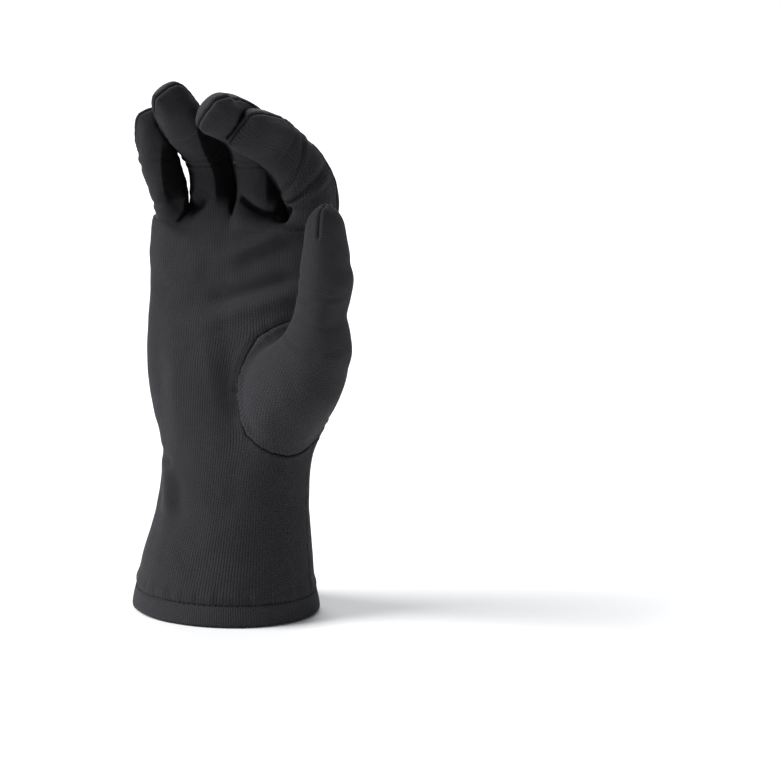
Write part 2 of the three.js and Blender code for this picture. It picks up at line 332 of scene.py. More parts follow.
class Digit:
    """A finger or thumb: a smooth path through its joints and an oval section along it."""

    def __init__(self, shape, taper, knit, squareness):
        self.breadth = shape[1]
        self.taper = taper
        self.turned = math.radians(knit[0])
        self.turn_from, self.turn_to, self.base, self.end = knit[1:]
        self.power = 2 / squareness
        self.joints = joints_of(shape)
        self.path = curve_through(self.joints)
        steps = np.linalg.norm(np.diff(self.path, axis=0), axis=1)
        self.lengths = np.concatenate([[0], np.cumsum(steps)])
        self.total = float(self.lengths[-1])
        self.tip_at = 1 - TIP_LENGTH / self.total

    def middle(self, at):
        length = at * self.total
        return Vector([float(np.interp(length, self.lengths, self.path[:, c])) for c in range(3)])

    def axes(self, at):
        """The way along, sideways to the thumb's side, and to the back, at a share of the length."""
        ahead, behind = min(at + 0.02, 1.0), max(at - 0.02, 0.0)
        along = (self.middle(ahead) - self.middle(behind)).normalized()
        side = (Vector((1, 0, 0)) - along * along.x).normalized()
        back = along.cross(side)
        turned = self.turned * eased(at, self.turn_from, self.turn_to)
        c, s = math.cos(turned), math.sin(turned)
        return along, side * c + back * s, back * c - side * s

    def place(self, at, turn, sides, trim=(1.0, 1.0), onward=0.0):
        """A point of the cage round the finger, trimmed and moved onward for the closed tip."""
        along, side, back = self.axes(at)
        half = self.breadth / 2 * cage_swell(sides)
        broad = half * trim[0] * smooth_column(self.taper, 1, at)
        deep = half * trim[1] * FINGER_FLATNESS * smooth_column(self.taper, 2, at)
        angle = turn * 2 * math.pi
        narrow = (1 - self.base) * (1 - eased(at, BASE_FROM, BASE_TO)) * (1 - math.sin(angle)) / 2
        sideways = squared(math.cos(angle), self.power) * broad * (1 - narrow)
        ring = side * sideways + back * (squared(math.sin(angle), self.power) * deep)
        return self.middle(at) + along * onward + ring

    def locate(self, points):
        """For an array of points: length along, sideways and backward distance, in millimetres."""
        gaps = np.linalg.norm(points[:, None, :] - self.path[None, :, :], axis=2)
        nearest = gaps.argmin(axis=1)
        length = self.lengths[nearest]
        frames = [self.axes(float(value) / self.total) for value in self.lengths]
        away = points - self.path[nearest]
        along, side, back = (np.array([np.array(f[c]) for f in frames])[nearest] for c in range(3))
        return (
            length + (away * along).sum(1),
            (away * side).sum(1),
            (away * back).sum(1),
        )


DIGITS = {
    name: Digit(shape, FINGER_TAPER, FINGER_KNIT[name], FINGER_SQUARENESS)
    for name, shape in FINGERS.items()
}
DIGITS["thumb"] = Digit(THUMB_SHAPE, THUMB_TAPER, THUMB_KNIT, THUMB_SQUARENESS)


class Shell:
    """The liner's cage, grown ring by ring, with each face's panel, part and knit coordinates."""

    def __init__(self):
        self.bm = bmesh.new()
        self.panel = self.bm.faces.layers.int.new("panel")
        self.part = self.bm.faces.layers.int.new("part")
        self.knit = self.bm.loops.layers.uv.new("Knit")
        self.seam = self.bm.edges.layers.int.new("seam_kind")
        self.where = {}

    def grow(self, ring, places, panels, part, spans, height, rise):
        """Extrudes a closed ring and moves its new vertices to their places."""
        bm = self.bm
        pairs = list(zip(ring, ring[1:] + ring[:1]))
        edges = [bm.edges.get(pair) or bm.edges.new(pair) for pair in pairs]
        grown = bmesh.ops.extrude_edge_only(bm, edges=edges)["geom"]
        new = {g for g in grown if isinstance(g, bmesh.types.BMVert)}
        following = []
        for vert, place in zip(ring, places):
            ends = [e.other_vert(vert) for e in vert.link_edges]
            twin = next(v for v in ends if v in new)
            twin.co = place
            following.append(twin)
        old = set(ring)
        for i, (a, b) in enumerate(pairs):
            corners = {a, b, following[i], following[(i + 1) % len(ring)]}
            face = next(f for f in following[i].link_faces if corners == set(f.verts))
            face[self.panel] = panels[i]
            face[self.part] = part
            for loop in face.loops:
                right = loop.vert in (b, following[(i + 1) % len(ring)])
                top = loop.vert not in old
                loop[self.knit].uv = (spans[i][1 if right else 0], height + (rise if top else 0))
        return following

    def quad(self, verts, panel, part, uvs):
        face = self.bm.faces.new(verts)
        face[self.panel] = panel
        face[self.part] = part
        for loop in face.loops:
            loop[self.knit].uv = uvs[verts.index(loop.vert)]


def grow_cuff_and_palm(shell):
    """Rings from the top of the hem to just under the webs."""
    start = (HEM_DEPTH + 0.2) / BODY_LENGTH
    ring = bmesh.ops.create_circle(shell.bm, segments=BODY_SIDES, radius=1)["verts"]
    rows = []
    panels = [BACK] * (BODY_SIDES // 2) + [PALM] * (BODY_SIDES // 2)
    spans = [(i * COLUMN_PITCH, (i + 1) * COLUMN_PITCH) for i in range(BODY_SIDES)]
    step = (WEB_START - start) / BODY_ROWS
    for row in range(BODY_ROWS + 1):
        at = start + step * row
        if row == 0:
            for i, vert in enumerate(ring):
                vert.co = body_cage(i, at)
        else:
            places = [body_cage(i, at) for i in range(BODY_SIDES)]
            rise = step * BODY_LENGTH
            ring = shell.grow(ring, places, panels, 0, spans, at * BODY_LENGTH - rise, rise)
        for i, vert in enumerate(ring):
            shell.where[vert] = (i, at)
        rows.append(ring)
    return rows


def grow_fingers(shell, top):
    """Parts the last ring into four by the webs and grows a finger from each part."""
    bm = shell.bm
    quarter = BODY_SIDES // 8
    webs = []
    for k in range(1, 4):
        behind, before = top[quarter * k], top[BODY_SIDES - quarter * k]
        web = bm.verts.new((behind.co + before.co) / 2 + Vector((0, 0, WEB_RISE)))
        bm.edges.new((behind, web))
        bm.edges.new((web, before))
        webs.append(web)
    for k, name in enumerate(FINGERS):
        back = top[quarter * k: quarter * (k + 1) + 1]
        first, last = BODY_SIDES - quarter * (k + 1), BODY_SIDES - quarter * k
        palm = [top[i % BODY_SIDES] for i in range(first, last + 1)]
        start_web = [webs[k - 1]] if k > 0 else []
        end_web = [webs[k]] if k < 3 else []
        ring = start_web + back + end_web
        ring += palm[:-1] if k == 0 else palm[1:] if k == 3 else palm
        half = len(ring) // 2
        back_from = quarter * k - len(start_web)
        palm_from = first - len(end_web)
        spans = [(back_from + i, back_from + i + 1) for i in range(half)]
        spans += [(palm_from + i, palm_from + i + 1) for i in range(half)]
        spans = [(a * COLUMN_PITCH, b * COLUMN_PITCH) for a, b in spans]
        grow_finger(shell, ring, DIGITS[name], k + 1, spans)


def grow_finger(shell, ring, digit, part, spans):
    """Rings from the web to the fingertip, and its closed end."""
    sides = len(ring)
    panels = [BACK] * (sides // 2) + [PALM] * (sides // 2)
    height = WEB_START * BODY_LENGTH
    # The ring before the first lies half way from the palm's edge to it
    for i in range(-1, FINGER_RINGS + 1):
        at = FINGER_FROM + (digit.tip_at - FINGER_FROM) * max(i, 0) / FINGER_RINGS
        places = [digit.place(at, k / sides, sides) for k in range(sides)]
        if i < 0:
            places = [vert.co.lerp(place, 0.5) for vert, place in zip(ring, places)]
        rise = (digit.middle(at) - before).length if i > 0 else ROOT_RISE
        ring = shell.grow(ring, places, panels, part, spans, height, rise)
        height += rise
        before = digit.middle(at)
    close_tip(shell, ring, digit, part, panels, spans, height)


def close_tip(shell, ring, digit, part, panels, spans, height, first=0):
    """Closes a digit like the end of a bag: it flattens towards one seam, from the vertex called
    first to the one opposite, with a small ear where the seam turns down each side."""
    bm = shell.bm
    sides = len(ring)
    half = sides // 2
    for share, reached, thin, ear in TIP_RINGS:
        places = []
        flat = 1 - (1 - digit.end) * reached
        for k in range(sides):
            trim = (flat, thin) if first == 0 else (thin, flat)
            gap = min((k - first) % half, half - (k - first) % half)
            onward = (share + ear * max(0.0, 1 - gap / EAR_REACH)) * TIP_LENGTH
            places.append(digit.place(digit.tip_at, k / sides, sides, trim, onward))
        before = ring
        ring = shell.grow(ring, places, panels, part, spans, height, TIP_RISE)
        height += TIP_RISE
        for k in (first, (first + half) % sides):
            bm.edges.get((before[k], ring[k]))[shell.seam] = 1
    along, _, _ = digit.axes(digit.tip_at)
    around = ring[first:] + ring[:first]
    a, b = around[0], around[half]
    count = half - 3
    line = [a]
    for k in range(1, count + 1):
        t = k / (count + 1)
        rise = TIP_LENGTH * TIP_CROWN * math.sin(math.pi * t) ** 0.5
        line.append(bm.verts.new(a.co.lerp(b.co, t) + along * rise))
    line.append(b)
    for side, start in ((around[1:half], 0), (around[:half:-1], half)):
        for k in range(len(line) - 1):
            u0 = spans[start][0] + (k + 1) * TIP_PITCH
            u1, top = u0 + TIP_PITCH, height + TIP_PITCH
            uvs = [(u0, top), (u0, height), (u1, height), (u1, top)]
            verts = [line[k], side[k], side[k + 1], line[k + 1]]
            shell.quad(verts, panels[start], part, uvs)
            bm.edges.get((line[k], line[k + 1]))[shell.seam] = 1


def cut_thumb_hole(shell, rows):
    """Opens the set-in thumb's oval in the palm's side and eases the knit round it."""
    bm = shell.bm
    low, high = THUMB_ROWS
    left, right = THUMB_COLUMNS
    columns = [c % BODY_SIDES for c in range(left, right + 1)]
    inner = [rows[r][c] for r in range(low + 1, high) for c in columns[1:-1]]
    for vert in inner:
        shell.where.pop(vert, None)
    bmesh.ops.delete(bm, geom=inner, context="VERTS")
    edge = [(high, c) for c in range(right, left, -1)]
    edge += [(r, left) for r in range(high, low, -1)]
    edge += [(low, c) for c in range(left, right)]
    edge += [(r, right) for r in range(low, high)]
    loop = [rows[r][c % BODY_SIDES] for r, c in edge]
    shift = (high - low) // 2
    loop = loop[-shift:] + loop[:-shift]
    count = len(loop)
    for k, vert in enumerate(loop):
        angle = 2 * math.pi * k / count
        across = OVAL_RIGHT if math.cos(angle) > 0 else OVAL_LEFT
        column = OVAL_COLUMN + across * math.cos(angle)
        at = (OVAL_HEIGHT + OVAL_HALF * math.sin(angle)) / BODY_LENGTH
        shell.where[vert] = (column, at)
        vert.co = body_cage(column, at)
    held = set(loop) | set(rows[0]) | set(rows[-1])
    near = [v for v in shell.where if v not in held and near_oval(shell.where[v])]
    for _ in range(EASE_ROUNDS):
        for vert in near:
            column, at = shell.where[vert]
            ends = [shell.where[e.other_vert(vert)] for e in vert.link_edges]
            half = BODY_SIDES / 2
            turns = [(c - column + half) % BODY_SIDES - half for c, _ in ends]
            column += sum(turns) / len(turns) * EASE_SHARE
            at += (sum(a for _, a in ends) / len(ends) - at) * EASE_SHARE
            shell.where[vert] = (column, at)
    for vert in near:
        vert.co = body_cage(*shell.where[vert])
    return loop


def near_oval(where):
    """Whether a place of the palm lies close enough to the thumb's oval to be eased."""
    column, at = where
    across = (column - OVAL_COLUMN + BODY_SIDES / 2) % BODY_SIDES - BODY_SIDES / 2
    beyond = abs(at * BODY_LENGTH - OVAL_HEIGHT) - OVAL_HALF
    return abs(across) < NEAR_COLUMNS and beyond < NEAR_HEIGHT


def grow_thumb(shell, loop):
    """Rings from the oval seam out to the thumb's tip."""
    digit = DIGITS["thumb"]
    sides = len(loop)
    turns = [k / sides for k in range(sides)]
    tries = [i / 100 for i in range(0, 56)]
    starts = []
    for turn, vert in zip(turns, loop):
        gaps = [(digit.place(at, turn, sides) - vert.co).length for at in tries]
        starts.append(tries[gaps.index(min(gaps))])
    for _ in range(3):
        starts = [
            (starts[k - 1] + 2 * starts[k] + starts[(k + 1) % sides]) / 4 for k in range(sides)
        ]
    slips = [v.co - digit.place(at, turn, sides) for v, at, turn in zip(loop, starts, turns)]
    panels = [THUMB] * sides
    columns = [THUMB_START + k * THUMB_PITCH for k in range(sides)]
    spans = [(column, column + THUMB_PITCH) for column in columns]
    seam = THUMB_FRONT - sides // 2
    ring, height = loop, 0.0
    for i in range(1, THUMB_RINGS + 1):
        if i <= THUMB_BLEND:
            t = i / THUMB_BLEND
            ats = [start + (THUMB_FREE - start) * t for start in starts]
            ease = (1 - t) ** 2
        else:
            t = (i - THUMB_BLEND) / (THUMB_RINGS - THUMB_BLEND)
            ats = [THUMB_FREE + (digit.tip_at - THUMB_FREE) * t] * sides
            ease = 0.0
        places = [
            digit.place(at, turn, sides) + slip * ease for at, turn, slip in zip(ats, turns, slips)
        ]
        before = ring
        ring = shell.grow(ring, places, panels, ON_THUMB, spans, height, THUMB_RISE)
        height += THUMB_RISE
        shell.bm.edges.get((before[seam], ring[seam]))[shell.seam] = 1
    close_tip(shell, ring, digit, ON_THUMB, panels, spans, height, THUMB_FRONT)


def smooth_shell(shell):
    """The cage as a smooth mesh with its layers, from a Subdivision Surface modifier."""
    bmesh.ops.recalc_face_normals(shell.bm, faces=shell.bm.faces)
    mesh = bpy.data.meshes.new("shell")
    shell.bm.to_mesh(mesh)
    shell.bm.free()
    holder = add_object("shell", mesh)
    smooth = holder.modifiers.new("smooth", "SUBSURF")
    smooth.levels = smooth.render_levels = SMOOTH_LEVELS
    smooth.uv_smooth = "NONE"
    view = bpy.context.evaluated_depsgraph_get()
    fine = bpy.data.meshes.new_from_object(holder.evaluated_get(view), depsgraph=view)
    bpy.data.objects.remove(holder)
    bpy.data.meshes.remove(mesh)
    return fine


def bell(distance, width):
    """A soft bump: 1 at no distance, fading over the width."""
    return np.exp(-((distance / width) ** 2))


def ramp(values, low, high):
    """As eased, for an array."""
    t = np.clip((values - low) / (high - low), 0, 1)
    return t * t * (3 - 2 * t)


def line_distance(points, line):
    """Distance of 2-D points to a bent line, and how far along it they lie, from 0 to 1."""
    line = np.array(line, float)
    lengths = np.linalg.norm(np.diff(line, axis=0), axis=1)
    total = lengths.sum()
    best = np.full(len(points), 1e9)
    along = np.zeros(len(points))
    run = 0.0
    for a, b, length in zip(line, line[1:], lengths):
        way = (b - a) / length
        t = np.clip((points - a) @ way, 0, length)
        gap = np.linalg.norm(points - a - t[:, None] * way, axis=1)
        closer = gap < best
        best[closer] = gap[closer]
        along[closer] = (run + t[closer]) / total
        run += length
    return best, along


def soft_noise(points, size, seed):
    """Smooth noise from -1 to 1 at each point, with bumps of the given size in millimetres."""
    shift = Vector((seed * 17.3, seed * 5.1, seed * 9.7))
    return np.array([noise.noise(Vector(p) / size + shift) for p in points])


# Folds seen from the palm and from the back: height (valleys below zero), width, and the line
# they follow as places across and up, all in millimetres
PALM_FOLDS = (
    (4.0, 22.0, ((-26, 100), (-8, 102), (12, 106))),
    (1.7, 3.4, ((46, 174.5), (33, 170.5), (24, 165.5), (15, 161.5), (4, 158))),
    (-1.0, 4.0, ((42, 177), (29, 174.5), (19, 169), (8, 165))),
    (-1.6, 4.5, ((46, 167), (31, 163), (21, 158), (8, 153))),
    (-2.2, 3.6, ((48, 152.5), (32, 148.5), (20, 144.5), (7, 140), (-8, 138))),
    (1.4, 4.0, ((46, 146), (31, 141.5), (16, 136.5), (2, 131.5), (-12, 129))),
    (-2.0, 8.0, ((-40, 146), (-18, 142.5), (0, 141), (16, 140))),
    (0.8, 6.0, ((-34, 154), (-18, 152), (0, 154))),
    (-1.6, 2.2, ((-30, 71), (-25.5, 69.5), (-20, 66.5), (-15, 66))),
    (2.0, 3.4, ((-23, 67), (-19.5, 60), (-18.5, 50), (-19, 42))),
    (-1.0, 3.6, ((-14, 66), (-12.5, 58), (-12, 48), (-13, 40))),
    (0.5, 5.0, ((14, 68), (26, 63), (38, 66))),
    (-0.6, 5.0, ((8, 58), (22, 54), (38, 57))),
    (0.4, 6.0, ((-6, 60), (4, 52), (6, 40), (4, 28))),
    (-0.4, 6.0, ((-22, 30), (-4, 27), (20, 28), (40, 32))),
    (-0.9, 2.4, ((8, 179), (17, 174.5), (27, 179))),
    (0.7, 3.6, ((8, 172.5), (17, 169.5), (27, 173))),
    (-0.6, 2.4, ((-12, 178), (-4, 174), (5, 178))),
    (-0.6, 2.4, ((34, 178), (42, 175), (51, 178))),
    (-0.6, 2.4, ((-31, 176), (-24, 172), (-15, 176))),
)
# The hollows round the fingers' roots, on the palm side, drawn over the fingers too, and the
# height they are kept to
ROOT_FROM = 170
ROOT_FOLDS = (
    (-5.2, 2.6, ((13, 182.5), (17.5, 179), (22.5, 176.6), (28, 176.3), (33, 177.3), (38, 180.5))),
    (1.3, 4.0, ((8, 176), (17, 171), (27, 169), (38, 171))),
    (-3.6, 2.6, ((-17, 184), (-14.5, 180), (-11, 178), (-7, 180), (-4, 185))),
    (0.9, 4.0, ((-22, 176), (-11, 171.5), (0, 176))),
)
BACK_FOLDS = (
    (0.6, 5.0, ((-20, 62), (-2, 58), (18, 62))),
    (-0.6, 4.0, ((-22, 54), (0, 50), (22, 55))),
    (0.5, 6.0, ((-16, 148), (-18, 128), (-14, 108))),
    (-0.5, 6.0, ((4, 152), (6, 132), (8, 112))),
    (0.5, 6.0, ((26, 150), (28, 132), (30, 112))),
)

# Relief of the seams, in millimetres: height, then distance from the seam where it has one, width
GROOVE = (-0.45, 0.7)
ROLL = (0.3, 1.4, 1.0)
PUCKER = (0.5, 4.0)
RIM = (1.5, 2.3, 2.0)
RIM_FADE = (115, 128)
SIDE_SEAM_TOP = 150
SIDE_SEAM_FLATNESS = 0.75
HEM_RIDGE = (0.45, 12.8, 2.2)
HEM_GROOVE = (-0.25, 0.9)
HEM_PUCKER = 0.7

# Slack of the cloth: height and size of its waves, in millimetres, and where its noise starts
SLACK = ((0.55, 24, 1), (0.3, 8, 2))

# Painted shade in hollows: how far cloth is looked for and from what height, in millimetres, the
# shares of enclosure where the painted shade begins and is full, and the painted shade colour
HOLLOW_REACH = 26.0
HOLLOW_LOWEST = 150
HOLLOW_FROM, HOLLOW_TO = 0.20, 0.50
PAINTED_SHADE_COLOUR = (0.0042, 0.0042, 0.0046, 1)

# Painted shade on the sides of the fingers that face a neighbour: the side, and how far round the
# painted shade begins and is full, as shares of half the breadth
PAINTED_SHADE_SIDES = {
    "index": ((-1, 0.75, 0.98),),
    "middle": ((-1, 0.60, 0.84), (1, 0.36, 0.66)),
    "ring": ((1, 0.38, 0.58), (-1, 0.66, 0.88)),
    "little": ((1, 0.02, 0.26),),
}
# The height that the painted shade sets in at, and the share of a finger's length where it ends
PAINTED_SHADE_STARTS = (171, 187)
PAINTED_SHADE_ENDS = (0.80, 0.96)

# Creases of each digit: share of its length, depth in millimetres, and slant across
JOINT_CREASES = {
    "index": ((0.585, 1.7, 0.38), (0.675, 1.0, 0.65), (0.75, 0.35, 0.3)),
    "middle": ((0.575, 0.45, 0.1), (0.64, 0.3, 0.25), (0.80, 0.5, 0.2)),
    "ring": ((0.57, 0.45, -0.1), (0.63, 0.3, 0.25), (0.79, 0.4, 0.3)),
    "little": ((0.56, 0.5, 0.1), (0.63, 0.25, 0.1), (0.78, 0.35, -0.1)),
    "thumb": ((0.52, 0.35, 0.1), (0.70, 0.5, 0.1), (0.745, 0.35, -0.1), (0.61, 0.25, 0.1)),
}

# Waves down the thumb's outer side: share of its length, height and width in millimetres
THUMB_WAVES = (
    (0.745, 0.9, 6.0),
    (0.63, -1.2, 5.0),
    (0.51, 1.2, 6.0),
    (0.80, -0.6, 3.0),
)

# The hem's section: how far it stands out from the cuff's line and its height, in millimetres
HEM_SECTION = (
    (-0.20, 8.7), (0.10, 8.1), (0.22, 6.6), (0.28, 4.2), (0.25, 1.8), (0.00, 0.5), (-0.60, 0.0),
    (-1.45, 0.5), (-1.75, 1.8), (-1.80, 4.2), (-1.75, 6.6), (-1.45, 7.9), (-0.95, 8.7),
)
HEM_LIFT = 0.35

# Half sizes of one stitch, and how far it lies out from the cuff's line, in millimetres
STITCH_SIZE = (0.95, 0.26, 0.24)
STITCH_OUT = -0.12


def fold_relief(points, normals, folds, facing, floor=0.15):
    """Heights of folds that are drawn on the palm or the back."""
    flat = points[:, [0, 2]]
    shown = ramp(normals[:, 1] * facing, 0.05, 0.5)
    height = np.zeros(len(points))
    for tall, wide, line in folds:
        gap, along = line_distance(flat, line)
        ends = ramp(along, 0.0, 0.3) * ramp(1 - along, 0.0, 0.3)
        height += tall * bell(gap, wide) * (floor + (1 - floor) * ends) * shown
    return height


def places_on(name, points, part_of):
    """A digit's vertices and their places: millimetres along, then shares sideways and back."""
    digit = DIGITS[name]
    mine = np.nonzero(part_of == PARTS.index(name))[0]
    along, side, back = digit.locate(points[mine])
    half = digit.breadth / 2
    return mine, digit, along, side / half, back / half


def joint_relief(points, part_of):
    """Creases across the inner side of each bent joint, with the cloth pushed up beside them."""
    height = np.zeros(len(points))
    for name in DIGITS:
        mine, digit, along, side, back = places_on(name, points, part_of)
        inner = ramp(-back, -0.15, 0.75)
        outer = ramp(back, 0.1, 0.8)
        total = np.zeros(len(mine))
        for at, deep, lean in JOINT_CREASES[name]:
            wave = 0.9 * np.sin(side * 2.4 + at * 40)
            gap = along - at * digit.total - side * digit.breadth / 2 * lean + wave
            crease = 0.7 * bell(gap + 2.1, 1.2) - bell(gap, 1.25) + 0.45 * bell(gap - 3.4, 2.4)
            total += deep * crease * inner - 0.15 * deep * bell(gap, 3) * outer
        if name == "thumb":
            for at, tall, wide in THUMB_WAVES:
                total += tall * bell(along - at * digit.total, wide) * ramp(side, 0.2, 0.9)
        height[mine] = total
    return height


def seam_vertices(mesh, panels):
    """The vertices on a seam, and which of them lie on the thumb's oval."""
    sides = {}
    for poly in mesh.polygons:
        for key in poly.edge_keys:
            sides.setdefault(key, set()).add(int(panels[poly.index]))
    on_seam, on_oval = set(), set()
    for key, found in sides.items():
        if len(found) == 2:
            on_seam.update(key)
            if THUMB in found:
                on_oval.update(key)
    kinds = mesh.attributes["seam_kind"].data
    for edge in mesh.edges:
        if kinds[edge.index].value:
            on_seam.update(edge.vertices)
    seam = sorted(on_seam)
    return seam, np.array([v in on_oval for v in seam])


def seam_relief(points, mesh, panels, part_of):
    """A stitched groove along each seam, its rolled edges and the puckers across it, and how far
    each place lies from the nearest seam line."""
    seam, oval = seam_vertices(mesh, panels)
    tree = kdtree.KDTree(len(seam))
    for i, v in enumerate(seam):
        tree.insert(Vector(points[v]), i)
    tree.balance()
    found = [tree.find(Vector(p)) for p in points]
    nearest = np.array([f[1] for f in found])
    gap = np.array([f[2] for f in found])
    base = points[seam]
    on_oval = oval[nearest]
    on_side = (base[:, 2] < SIDE_SEAM_TOP)[nearest] & ~on_oval
    pucker = soft_noise(base, 2.6, 3) + 0.5 * soft_noise(base, 5.5, 5)
    strength = 0.6 + 0.8 * ramp(soft_noise(base, 22, 9), -0.3, 0.5)
    puckers = (pucker * strength)[nearest] * PUCKER[0] * bell(gap, PUCKER[1])
    groove = GROOVE[0] * bell(gap, GROOVE[1])
    roll = ROLL[0] * bell(gap - ROLL[1], ROLL[2])
    height = (groove + roll + puckers) * (1 - SIDE_SEAM_FLATNESS * on_side)
    # The thumb's edge stands up along the top and left of its oval, and the palm sinks beside it
    low = points[:, 2]
    upper = ramp(base[:, 2] - 0.55 * base[:, 0], 52, 100)[nearest] * on_oval
    on_thumb = part_of == ON_THUMB
    stand = RIM[0] * bell(gap - RIM[1], RIM[2]) * on_thumb * (1 - ramp(low, *RIM_FADE))
    sink = (0.3 * bell(gap - 3.4, 1.0) - 0.25 * bell(gap - 1.4, 1.2)) * ~on_thumb
    height += (stand + sink) * upper
    # How far from a seam line, for its fine groove and its painted shade: fainter on the side seam
    # and the thumb's upper edge, and the hem's stitch row counts as a seam line too
    faded = gap + 0.55 * on_side + 0.3 * upper
    return height, np.minimum(faded, np.abs(low - STITCH_HEIGHT) + 0.25)


def hem_relief(points):
    """The groove that the hem's stitching pulls into the cuff, and the puckered ridge above it."""
    low = points[:, 2]
    puckers = soft_noise(points * [1, 1, 0.3], 3.2, 6) * bell(low - 12.5, 3.5) * (low < 24)
    ridge = HEM_RIDGE[0] * bell(low - HEM_RIDGE[1], HEM_RIDGE[2])
    groove = HEM_GROOVE[0] * bell(low - STITCH_HEIGHT, HEM_GROOVE[1])
    return ridge + groove + HEM_PUCKER * puckers


def painted_shade_from_enclosure(points, normals, mesh, wanted):
    """How enclosed each wanted vertex is: the share of the ways outward that soon meet cloth, for
    painted shade.
    """
    tree = BVHTree.FromPolygons([Vector(p) for p in points], [p.vertices[:] for p in mesh.polygons])
    shares = np.zeros(len(points))
    ways = []
    for lift, count, weight in ((0.35, 7, 1.0), (0.75, 6, 1.3), (1.0, 1, 1.0)):
        flat = math.sqrt(1 - lift * lift)
        for k in range(count):
            turn = 2 * math.pi * (k + 0.5 * lift) / count
            ways.append((flat * math.cos(turn), flat * math.sin(turn), lift, weight))
    full = sum(way[3] for way in ways)
    for v in wanted:
        normal = Vector(normals[v])
        side = normal.orthogonal().normalized()
        other = normal.cross(side)
        start = Vector(points[v]) + normal * 0.6
        found = 0.0
        for a, b, c, weight in ways:
            hit = tree.ray_cast(start, side * a + other * b + normal * c, HOLLOW_REACH)
            if hit[0] is not None:
                found += weight * (1 - hit[3] / HOLLOW_REACH)
        shares[v] = found / full
    edges = np.zeros(len(mesh.edges) * 2, int)
    mesh.edges.foreach_get("vertices", edges)
    edges = edges.reshape(-1, 2)
    for _ in range(3):
        total, count = shares.copy(), np.ones(len(shares))
        for a, b in (edges.T, edges.T[::-1]):
            np.add.at(total, a, shares[b])
            np.add.at(count, a, 1)
        shares = total / count
    return shares


def painted_side_shade(points, part_of):
    """How deep in its neighbour's shade each place on a finger's palm side lies, from 0 to 1, for
    painted shade.
    """
    shade = np.zeros(len(points))
    for name in PAINTED_SHADE_SIDES:
        mine, digit, along, side, back = places_on(name, points, part_of)
        low = 1 - ramp(along / digit.total, *PAINTED_SHADE_ENDS)
        front = ramp(-back, -0.75, -0.1) * ramp(points[mine, 2], *PAINTED_SHADE_STARTS)
        for way, start, full in PAINTED_SHADE_SIDES[name]:
            here = ramp(side * way, start, full) * low * front
            shade[mine] = np.maximum(shade[mine], here)
    return shade


def shape_shell(mesh):
    """Adds the folds, creases, seams and slack of worn knit to the smooth shell, and stores where
    shade is painted into the knit's colour.
    """
    count = len(mesh.vertices)
    points = np.zeros(count * 3)
    mesh.vertices.foreach_get("co", points)
    points = points.reshape(-1, 3)
    normals = np.array([v.normal for v in mesh.vertices])
    panels, parts = np.zeros((2, len(mesh.polygons)), int)
    mesh.attributes["panel"].data.foreach_get("value", panels)
    mesh.attributes["part"].data.foreach_get("value", parts)
    part_of = np.zeros(count, int)
    for poly, part in zip(mesh.polygons, parts):
        for v in poly.vertices:
            part_of[v] = max(part_of[v], part)
    height, seam_gap = seam_relief(points, mesh, panels, part_of)
    height += hem_relief(points)
    height += fold_relief(points, normals, PALM_FOLDS, -1) * (part_of == 0)
    height += fold_relief(points, normals, BACK_FOLDS, 1) * (part_of == 0)
    near_root = (points[:, 2] > ROOT_FROM) & (part_of != ON_THUMB)
    height += fold_relief(points, normals, ROOT_FOLDS, -1, 0.5) * near_root
    height += joint_relief(points, part_of)
    for tall, size, seed in SLACK:
        height += tall * soft_noise(points, size, seed)
    points = points + normals * height[:, None]
    mesh.vertices.foreach_set("co", points.ravel())
    mesh.update()
    normals = np.array([v.normal for v in mesh.vertices])
    # Painted shade: how enclosed each place high on the liner is, and the finger sides that face a
    # neighbour, set how far its colour goes to the painted shade colour
    wanted = np.nonzero(points[:, 2] > HOLLOW_LOWEST)[0]
    shares = painted_shade_from_enclosure(points, normals, mesh, wanted)
    shares = np.maximum(shares, HOLLOW_TO * 0.98 * painted_side_shade(points, part_of))
    # Painted shade: the deep fold under the middle finger is painted as dark as the hollows it joins
    gap, _ = line_distance(points[:, [0, 2]], ROOT_FOLDS[0][2])
    facing = ramp(-normals[:, 1], -0.3, 0.2) * (points[:, 1] < 2)
    shares = np.maximum(shares, HOLLOW_TO * 1.1 * bell(gap, 2.6) * facing)
    for name, values in (("seam_gap", np.minimum(seam_gap, SEAM_FAR)), ("painted_shade_share", shares)):
        layer = mesh.attributes.new(name, "FLOAT", "POINT")
        layer.data.foreach_set("value", values)
    mesh.vertices.foreach_set("co", (points * MM).ravel())
    mesh.update()


def add_object(name, data):
    """A new object in the scene, at the origin."""
    thing = bpy.data.objects.new(name, data)
    bpy.context.scene.collection.objects.link(thing)
    return thing


def piece_from(bm, name):
    """Turns a finished bmesh into a smooth-shaded object."""
    for face in bm.faces:
        face.smooth = True
    mesh = bpy.data.meshes.new(name)
    bm.to_mesh(mesh)
    bm.free()
    return add_object(name, mesh)


def part_panel(mesh, name, panel):
    """One panel of the shell as its own piece, with the cloth's thickness."""
    bm = bmesh.new()
    bm.from_mesh(mesh)
    layer = bm.faces.layers.int["panel"]
    others = [f for f in bm.faces if f[layer] != panel]
    bmesh.ops.delete(bm, geom=others, context="FACES")
    piece = piece_from(bm, name)
    wall = piece.modifiers.new("wall", "SOLIDIFY")
    wall.thickness = WALL * MM
    wall.offset = -1
    wall.use_even_offset = False
    return piece


